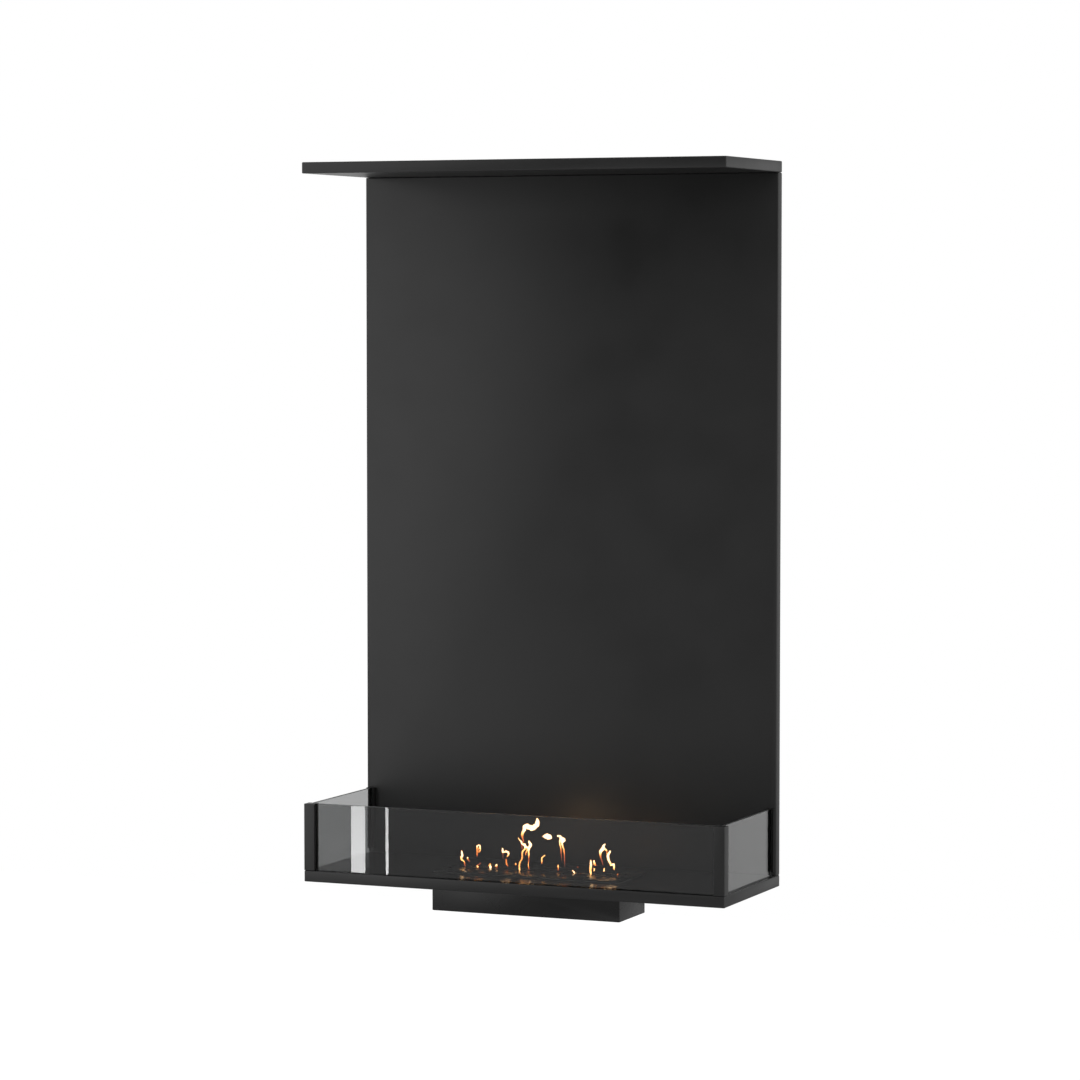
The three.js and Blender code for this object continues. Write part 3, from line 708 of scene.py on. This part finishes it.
# lengths in mm
flameForm = {
    "steps": 4,  # between two points of a tongue
    "sides": 10,
    "thinnest": 0.3,
    "voxel": 0.6,
    "halo": 0.5,  # thickness of the orange skin round the white
    "haloReach": 0.4,  # share of the halo that is added to the breadth towards the wall
    "sway": 2.5,  # towards the front and the wall
    "swayHeight": 26,
    "reach": 0.6,  # breadth of a tongue towards the wall, over its breadth along the slot
    "smoothing": 0.5,
    "smoothings": 2,
}


def smoothPath(points):
    # a Catmull-Rom line through the points, radius and heat along with it
    points = [Vector(point) for point in points]
    ends = [2 * points[0] - points[1], *points, 2 * points[-1] - points[-2]]
    path = []
    for before, start, end, after in zip(ends, ends[1:], ends[2:], ends[3:]):
        for step in range(flameForm["steps"]):
            t = step / flameForm["steps"]
            path.append(0.5 * (2 * start + t * (end - before)
                               + t * t * (2 * before - 5 * start + 4 * end - after)
                               + t ** 3 * (3 * start - before - 3 * end + after)))
    return path + [points[-1]]


def stationAt(path, index, slotPlace, grow):
    # where a ring of the tongue lies: its place, its turn about Y and its radius
    here = path[index]
    ahead = path[min(index + 1, len(path) - 1)] - path[max(index - 1, 0)]
    sway = flameForm["sway"] * sin(here[1] / flameForm["swayHeight"] + here[0])
    place = slotPlace + Vector((here[0], sway, here[1])) * mm
    radius = (max(here[2], flameForm["thinnest"]) + grow) * mm
    breadth = radius * flameForm["reach"] + grow * flameForm["haloReach"] * mm
    return (Matrix.Translation(place) @ Matrix.Rotation(atan2(ahead[0], ahead[1]), 4, "Y")
            @ Matrix.Diagonal((radius, breadth, radius, 1)))


def sweepTongue(bm, path, slotPlace, grow):
    stations = [stationAt(path, index, slotPlace, grow) for index in range(len(path))]
    ring = bmesh.ops.create_circle(bm, cap_ends=True, segments=flameForm["sides"], radius=1,
                                   matrix=stations[0])["verts"]
    loop = ringEdges(ring)
    for before, after in zip(stations, stations[1:]):
        made = bmesh.ops.extrude_edge_only(bm, edges=loop)["geom"]
        loop = [item for item in made if isinstance(item, bmesh.types.BMEdge)]
        ring = [item for item in made if isinstance(item, bmesh.types.BMVert)]
        bmesh.ops.transform(bm, matrix=after @ before.inverted(), verts=ring)
    bmesh.ops.edgeloop_fill(bm, edges=loop)


def meltedMesh(paths, slotPlace, grow):
    # the tongues of one flame run into each other, as a voxel remesh leaves them
    bm = bmesh.new()
    for path in paths:
        sweepTongue(bm, path, slotPlace, grow)
    bmesh.ops.recalc_face_normals(bm, faces=bm.faces)
    raw = bpy.data.meshes.new("flame draft")
    bm.to_mesh(raw)
    bm.free()
    draft = bpy.data.objects.new("flame draft", raw)
    scene.collection.objects.link(draft)
    remesh = draft.modifiers.new("melt", "REMESH")
    remesh.mode = "VOXEL"
    remesh.voxel_size = flameForm["voxel"] * mm
    smooth = draft.modifiers.new("smooth", "SMOOTH")
    smooth.factor = flameForm["smoothing"]
    smooth.iterations = flameForm["smoothings"]
    graph = bpy.context.evaluated_depsgraph_get()
    melted = bpy.data.meshes.new_from_object(draft.evaluated_get(graph))
    bpy.data.objects.remove(draft)
    return melted


# Burning ethanol: hot soot glows in the tongue and cools to orange and brown wisps that the eye sees through.
# The hottest colour is a warm one, bright enough to be seen as white; its dim reflections stay warm. The skin
# round it is thin, cooler and orange.
glow = {
    # heat and the colour there, from brown by way of red, orange and yellow
    "stops": ((0.08, "#4b281e"), (0.28, "#984526"), (0.5, "#d07431"), (0.75, "#ffc070"), (0.95, "#ffe0b0")),
    "solid": 0.6,  # heat from which a tongue hides the most it can
    # least and most are the shares hidden of what is behind
    "core": {"strength": 8.0, "cooler": 0.0, "least": 0.15, "most": 1.0},
    "skin": {"strength": 13.0, "cooler": 0.45, "least": 0.03, "most": 0.16},
}


def makeFlame(name, strength, cooler, least, most):
    material, tree = newMaterial(name)
    heat = addNode(tree, "Attribute", attribute_name="burning").outputs["Fac"]
    felt = addNode(tree, "Math", {0: heat, 1: cooler}, operation="SUBTRACT", use_clamp=True).outputs[0]
    ramp = addNode(tree, "ValToRGB", {"Fac": felt})
    stops = ramp.color_ramp.elements
    for stop, (position, colour) in zip(stops, (glow["stops"][0], glow["stops"][-1])):
        stop.position, stop.color = position, linear(colour)
    for position, colour in glow["stops"][1:-1]:
        stops.new(position).color = linear(colour)
    light = addNode(tree, "Emission", {"Color": ramp.outputs["Color"], "Strength": strength})
    clear = addNode(tree, "BsdfTransparent")
    share = addNode(tree, "MapRange", {"Value": felt, "From Min": 0.0, "From Max": glow["solid"],
                                       "To Min": least, "To Max": most})
    surfaceFrom(tree, addNode(tree, "MixShader", {0: share.outputs[0], 1: clear.outputs[0],
                                                 2: light.outputs[0]}))
    return material


flameCore = makeFlame("burning ethanol", **glow["core"])
flameSkin = makeFlame("burning ethanol, outer skin", **glow["skin"])


def makeFlamePiece(name, tongues, slotPlace):
    paths = [smoothPath(points) for points in tongues]
    bm = bmesh.new()
    for slot, grow in enumerate((0, flameForm["halo"])):
        melted = meltedMesh(paths, slotPlace, grow)
        first = len(bm.faces)
        bm.from_mesh(melted)
        bm.faces.ensure_lookup_table()
        for face in bm.faces[first:]:
            face.material_index = slot
            face.smooth = True
        bpy.data.meshes.remove(melted)
    stations = [point for path in paths for point in path]
    nearest = KDTree(len(stations))
    for index, point in enumerate(stations):
        nearest.insert(slotPlace + Vector((point[0], 0, point[1])) * mm, index)
    nearest.balance()
    heat = bm.verts.layers.float.new("burning")
    for vert in bm.verts:
        _, index, _ = nearest.find(Vector((vert.co.x, slotPlace.y, vert.co.z)))
        vert[heat] = stations[index][3]
    mesh = bpy.data.meshes.new(name)
    bm.to_mesh(mesh)
    bm.free()
    piece = bpy.data.objects.new(name, mesh)
    scene.collection.objects.link(piece)
    mesh.materials.append(flameCore)
    mesh.materials.append(flameSkin)
    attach(piece, "burner")
    return piece


def lightFlames():
    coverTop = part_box("burner_cover")[1].z
    slotPlace = Vector((0, 0, coverTop))
    for letter, tongues in flames.items():
        piece = makeFlamePiece("flame_" + letter, tongues, slotPlace)
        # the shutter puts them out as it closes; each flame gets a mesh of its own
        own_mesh(piece)


lightFlames()
print("flames lit")


# ---- Studio ----

# lengths in metres; a level of 1 is white
studio = {
    "level": 1.08,  # of the room
    # darker and brighter parts of the room: the way there, the degrees off it where each begins and is
    # whole, and what it adds to the level
    "patches": {
        "behind the camera": ((-0.385, -0.92, -0.05), 38, 12, -1.02),
        "above the camera": ((-0.3, -0.75, 0.58), 40, 10, -0.55),
        "right rear": ((0.39, 0.92, -0.05), 60, 20, -0.62),
        "window, right rear": ((0.39, 0.92, -0.03), 16, 6, 0.62),
        "low, right rear": ((0.33, 0.77, -0.55), 40, 10, -0.4),
        "right": ((1, 0, 0), 60, 20, 0.5),
        "ceiling": ((0, 0, 1), 80, 30, -0.25),
    },
    "throughGlass": 0.75,  # level behind the camera in what glass lets through
}
floor = {
    "height": -0.5,  # the fireplace hangs on its wall rails, half a metre up
    "size": 6,
    "paint": "#a6a6a6",
    "lift": 0.75,  # added to what the camera sees, so that the floor reads white and keeps its shadow
}
# upright lamps before the fireplace: their spans in X and Z, their place in Y and their level
roomLamps = {
    "softbox": {"xs": (-2.2, -0.62), "zs": (-0.45, 1.6), "y": -1.3, "level": 0.88},
    "side card": {"xs": (-0.02, 0.35), "zs": (-0.2, 1.5), "y": -0.7, "level": 0.24},
}
screen = {"xs": (-2.3, -0.3), "zs": (-0.49, 0.2), "y": -3, "level": 0.33}
# narrow lamps that the front pane mirrors as two white bars
strips = {
    "strip_wide": {"xs": (-0.7306, -0.6992), "level": 11.76},
    "strip_narrow": {"xs": (-0.6535, -0.6473), "level": 14.28},
}
stripForm = {"zs": (-0.12, 0.12), "y": -1.0, "foot": 1.3, "top": 0.9}  # foot and top are shares of the level


def within(tree, direction, way, outer, inner, most):
    # most near a way, falling to 0 between the inner and the outer angle
    near = addNode(tree, "VectorMath", {0: direction, 1: Vector(way).normalized()}, operation="DOT_PRODUCT")
    return addNode(tree, "MapRange", {
        "Value": near.outputs["Value"], "From Min": cos(radians(outer)), "From Max": cos(radians(inner)),
        "To Min": 0.0, "To Max": most}, interpolation_type="SMOOTHSTEP").outputs[0]


def makeWorld():
    world = bpy.data.worlds.new("studio")
    scene.world = world
    world.use_nodes = True
    tree = world.node_tree
    tree.nodes.clear()
    direction = addNode(tree, "TexCoord").outputs["Generated"]
    level = studio["level"]
    for way, outer, inner, change in studio["patches"].values():
        patch = within(tree, direction, way, outer, inner, change)
        level = addNode(tree, "Math", {0: level, 1: patch}, operation="ADD").outputs[0]
    room = addNode(tree, "Background", {"Color": linear("#ffffff"), "Strength": level})
    # the camera sees a white background, and so does glass, but for a dimmer part behind the camera
    way, outer, inner, _ = studio["patches"]["behind the camera"]
    ray = addNode(tree, "LightPath")
    dim = within(tree, direction, way, outer, inner, studio["throughGlass"] - 1)
    dimInGlass = addNode(tree, "Math", {0: dim, 1: ray.outputs["Is Transmission Ray"]}, operation="MULTIPLY")
    paleLevel = addNode(tree, "Math", {0: dimInGlass.outputs[0], 1: 1.0}, operation="ADD")
    white = addNode(tree, "Background", {"Color": linear("#ffffff"), "Strength": paleLevel.outputs[0]})
    straight = addNode(tree, "Math", {0: ray.outputs["Is Camera Ray"], 1: ray.outputs["Is Transmission Ray"]},
                       operation="MAXIMUM")
    seen = addNode(tree, "MixShader", {0: straight.outputs[0], 1: room.outputs[0], 2: white.outputs[0]})
    addNode(tree, "OutputWorld", {"Surface": seen.outputs[0]})


def flatPanel(name, sizeX, sizeY, matrix, material):
    bm = bmesh.new()
    bmesh.ops.create_grid(bm, x_segments=1, y_segments=1, size=0.5,
                          matrix=matrix @ Matrix.Diagonal((sizeX, sizeY, 1, 1)))
    mesh = bpy.data.meshes.new(name)
    bm.to_mesh(mesh)
    bm.free()
    mesh.materials.append(material)
    panel = bpy.data.objects.new(name, mesh)
    scene.collection.objects.link(panel)
    return panel


def makeFloor():
    material, tree = newMaterial("pale floor")
    paint = addNode(tree, "BsdfDiffuse", {"Color": linear(floor["paint"])})
    white = addNode(tree, "Emission", {"Color": linear("#ffffff"), "Strength": floor["lift"]})
    lifted = addNode(tree, "AddShader", {0: paint.outputs[0], 1: white.outputs[0]})
    ray = addNode(tree, "LightPath")
    straight = addNode(tree, "Math", {0: ray.outputs["Is Camera Ray"], 1: ray.outputs["Is Transmission Ray"]},
                       operation="MAXIMUM")
    surfaceFrom(tree, addNode(tree, "MixShader", {
        0: straight.outputs[0], 1: paint.outputs[0], 2: lifted.outputs[0]}))
    flatPanel("floor", floor["size"], floor["size"], Matrix.Translation((0, 0, floor["height"])), material)


def faceFireplace(xs, zs, y):
    # upright at the middle of the span, turned to the back wall
    middle = Vector(((xs[0] + xs[1]) / 2, y, (zs[0] + zs[1]) / 2))
    return Matrix.Translation(middle) @ Matrix.Rotation(pi / 2, 4, "X")


def areaLamp(name, receivers, xs, zs, y, level):
    # as bright as a wall of that level, over its own size; it lights the receivers only
    lamp = bpy.data.lights.new(name, "AREA")
    lamp.shape = "RECTANGLE"
    lamp.size, lamp.size_y = xs[1] - xs[0], zs[1] - zs[0]
    lamp.energy = level * 4 * lamp.size * lamp.size_y
    holder = bpy.data.objects.new(name, lamp)
    holder.matrix_world = faceFireplace(xs, zs, y)
    holder.visible_camera = False
    holder.visible_transmission = False
    holder.light_linking.receiver_collection = receivers
    scene.collection.objects.link(holder)


def stripLamp(name, receivers, xs, level):
    # a narrow upright lamp, brighter at its foot
    zs = stripForm["zs"]
    material, tree = newMaterial(name)
    height = addNode(tree, "SeparateXYZ", {0: addNode(tree, "TexCoord").outputs["Object"]}).outputs["Z"]
    glowing = addNode(tree, "MapRange", {
        "Value": height, "From Min": zs[0], "From Max": zs[1],
        "To Min": level * stripForm["foot"], "To Max": level * stripForm["top"]})
    surfaceFrom(tree, addNode(tree, "Emission", {"Color": linear("#ffffff"), "Strength": glowing.outputs[0]}))
    strip = flatPanel(name, xs[1] - xs[0], zs[1] - zs[0], faceFireplace(xs, zs, stripForm["y"]), material)
    strip.visible_camera = strip.visible_transmission = strip.visible_diffuse = strip.visible_shadow = False
    strip.light_linking.receiver_collection = receivers


def makeLights():
    allButPanes = bpy.data.collections.new("all but the panes")
    for pane in [frontPane, *sidePanes]:
        allButPanes.objects.link(pane)
    for member in allButPanes.collection_objects:
        member.light_linking.link_state = "EXCLUDE"
    for name, lamp in roomLamps.items():
        areaLamp(name, allButPanes, **lamp)
    onlyFrontPane = bpy.data.collections.new("front pane")
    onlyFrontPane.objects.link(frontPane)
    areaLamp("screen", onlyFrontPane, **screen)
    for name, strip in strips.items():
        stripLamp(name, onlyFrontPane, **strip)


makeWorld()
makeFloor()
makeLights()
scene.view_settings.view_transform = "Standard"
print("studio lit")
